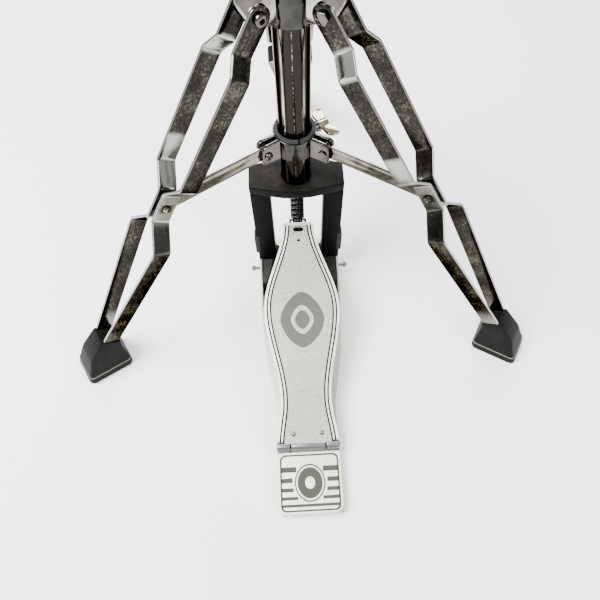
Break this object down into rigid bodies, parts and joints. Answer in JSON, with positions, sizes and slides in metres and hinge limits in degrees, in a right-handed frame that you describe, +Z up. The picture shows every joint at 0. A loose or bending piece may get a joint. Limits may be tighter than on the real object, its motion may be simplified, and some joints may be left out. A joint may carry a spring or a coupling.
{
  "type": "hi-hat cymbal stand",
  "caption": "Pedal-operated hi-hat stand: footboard, chain and spring-loaded pull rod, telescopic tube, cymbal seat and clutch, and a folding double-braced tripod.",
  "frame": {"origin": "on the floor, under the axis of the upright tube", "axes": "+Z up along the tube; the pedal points to -Y, where the player sits; +X to the player's right"},
  "size_m": [0.5386, 0.628, 1.04],
  "materials": {
    "chrome": "polished",
    "steel": "zinc plated",
    "silver": "sand blasted, printed",
    "black_cast": "satin black",
    "grey_cast": "matt grey",
    "black_steel": "blackened",
    "rubber": "moulded",
    "nylon": "moulded",
    "felt": "pressed felt"
  },
  "bodies": {
    "stand_base": {"base_rubber_mat": "rubber", "base_plate": "silver", "heel_plate": "silver", "hinge_pin": "steel", "yoke_frame": "black_cast", "frame_foot_block_left": "grey_cast", "frame_foot_block_right": "grey_cast", "frame_side_screw_left": "steel", "frame_side_screw_right": "steel", "base_casting": "black_cast", "lower_tube": "chrome", "rod_guide_bush": "nylon", "spring_seat": "steel", "return_spring": "steel", "height_clamp": "chrome", "clamp_bush": "nylon", "memory_lock": "chrome"},
    "pedal": {"footboard": "silver", "footboard_hinge_block": "silver", "toe_clevis": "black_steel"},
    "chain": {"chain": "black_steel"},
    "pull_rod": {"pull_rod": "steel", "rod_clevis": "black_steel", "spring_pusher": "steel"},
    "clutch": {"clutch_sleeve": "chrome", "clutch_bottom_nut": "chrome", "clutch_lower_felt": "felt", "clutch_upper_felt": "felt", "clutch_top_nut": "chrome"},
    "clutch_wing": {"clutch_wing_bolt": "chrome"},
    "clamp_wing": {"clamp_wing_bolt": "chrome"},
    "upper_tube": {"upper_tube": "chrome", "seat_base_cup": "chrome"},
    "cymbal_seat": {"seat_plate": "chrome", "seat_felt": "felt"},
    "seat_screw": {"seat_tilt_screw": "steel"},
    "tripod_hub": {"lower_collar": "chrome", "lower_collar_bush": "nylon", "brace_1_pin": "chrome", "brace_2_pin": "chrome", "brace_3_pin": "chrome"},
    "lower_wing": {"lower_wing_bolt": "chrome"},
    "tripod_slider": {"upper_collar": "chrome", "upper_collar_bush": "nylon"},
    "upper_wing": {"upper_wing_bolt": "chrome"},
    "leg_1": {"leg_1_front_strip": "chrome", "leg_1_back_strip": "chrome", "leg_1_bolt": "chrome", "leg_1_foot": "rubber"},
    "brace_1": {"brace_1": "chrome"},
    "leg_2": {"leg_2_front_strip": "chrome", "leg_2_back_strip": "chrome", "leg_2_bolt": "chrome", "leg_2_foot": "rubber"},
    "brace_2": {"brace_2": "chrome"},
    "leg_3": {"leg_3_front_strip": "chrome", "leg_3_back_strip": "chrome", "leg_3_bolt": "chrome", "leg_3_foot": "rubber"},
    "brace_3": {"brace_3": "chrome"}
  },
  "joints": [
    {"name": "pedal_press", "type": "hinge", "parent": "stand_base", "child": "pedal", "pos_m": [0, -0.2556, 0.017], "axis": [-1, 0, 0], "range_deg": [0, 12], "stiffness_Nm_per_rad": 45, "springref_deg": -5.16},
    {"name": "rod_pull", "type": "slide", "parent": "stand_base", "child": "pull_rod", "axis": [0, 0, -1], "range_m": [0, 0.053], "deforming": ["return_spring"]},
    {"name": "chain_swing", "type": "hinge", "parent": "pull_rod", "child": "chain", "pos_m": [0, 0, 0.128], "axis": [1, 0, 0], "range_deg": [0, 15.7]},
    {"name": "clutch_slide", "type": "slide", "parent": "pull_rod", "child": "clutch", "axis": [0, 0, 1], "range_m": [-0.03, 0.04]},
    {"name": "clutch_wing_turn", "type": "hinge", "parent": "clutch", "child": "clutch_wing", "pos_m": [0.00814, 0.0047, 0.979], "axis": [0.866, 0.5, 0], "continuous": true},
    {"name": "height_adjust", "type": "slide", "parent": "stand_base", "child": "upper_tube", "axis": [0, 0, 1], "range_m": [-0.12, 0]},
    {"name": "clamp_wing_turn", "type": "hinge", "parent": "stand_base", "child": "clamp_wing", "pos_m": [0.02252, 0.013, 0.6065], "axis": [0.866, 0.5, 0], "continuous": true},
    {"name": "seat_tilt", "type": "hinge", "parent": "upper_tube", "child": "cymbal_seat", "pos_m": [-0.0195, 0, 0.8186], "axis": [0, -1, 0], "range_deg": [0, 6]},
    {"name": "seat_screw_turn", "type": "hinge", "parent": "upper_tube", "child": "seat_screw", "pos_m": [0.0155, 0, 0.8123], "axis": [0, 0, 1], "continuous": true},
    {"name": "tripod_swivel", "type": "hinge", "parent": "stand_base", "child": "tripod_hub", "pos_m": [0, 0, 0.2158], "axis": [0, 0, 1], "range_deg": [-12, 12]},
    {"name": "lower_wing_turn", "type": "hinge", "parent": "tripod_hub", "child": "lower_wing", "pos_m": [0.02252, 0.013, 0.21575], "axis": [0.866, 0.5, 0], "continuous": true},
    {"name": "leg_fold", "type": "slide", "parent": "tripod_hub", "child": "tripod_slider", "axis": [0, 0, 1], "range_m": [0, 0.1388]},
    {"name": "upper_wing_turn", "type": "hinge", "parent": "tripod_slider", "child": "upper_wing", "pos_m": [0.02252, 0.013, 0.36], "axis": [0.866, 0.5, 0], "continuous": true},
    {"name": "leg_1_swing", "type": "hinge", "parent": "tripod_slider", "child": "leg_1", "pos_m": [-0.02918, -0.01685, 0.3595], "axis": [0.5, -0.866, 0], "range_deg": [0, 24.52]},
    {"name": "brace_1_swing", "type": "hinge", "parent": "tripod_hub", "child": "brace_1", "pos_m": [-0.02892, -0.0167, 0.215], "axis": [-0.5, 0.866, 0], "range_deg": [0, 72.74]},
    {"name": "leg_2_swing", "type": "hinge", "parent": "tripod_slider", "child": "leg_2", "pos_m": [0.02918, -0.01685, 0.3595], "axis": [0.5, 0.866, 0], "range_deg": [0, 24.52]},
    {"name": "brace_2_swing", "type": "hinge", "parent": "tripod_hub", "child": "brace_2", "pos_m": [0.02892, -0.0167, 0.215], "axis": [-0.5, -0.866, 0], "range_deg": [0, 72.74]},
    {"name": "leg_3_swing", "type": "hinge", "parent": "tripod_slider", "child": "leg_3", "pos_m": [0, 0.0337, 0.3595], "axis": [-1, 0, 0], "range_deg": [0, 24.52]},
    {"name": "brace_3_swing", "type": "hinge", "parent": "tripod_hub", "child": "brace_3", "pos_m": [0, 0.0334, 0.215], "axis": [1, 0, 0], "range_deg": [0, 72.74]}
  ],
  "couplings": [
    {"joint": "rod_pull", "follows": "pedal_press", "m_per_rad": 0.25084},
    {"joint": "chain_swing", "follows": "pedal_press", "ratio": 1.2877},
    {"joint": "leg_1_swing", "follows": "leg_fold", "rad_per_m": 3.0712},
    {"joint": "brace_1_swing", "follows": "leg_fold", "rad_per_m": 9.1378},
    {"joint": "leg_2_swing", "follows": "leg_fold", "rad_per_m": 3.0712},
    {"joint": "brace_2_swing", "follows": "leg_fold", "rad_per_m": 9.1378},
    {"joint": "leg_3_swing", "follows": "leg_fold", "rad_per_m": 3.0712},
    {"joint": "brace_3_swing", "follows": "leg_fold", "rad_per_m": 9.1378}
  ]
}
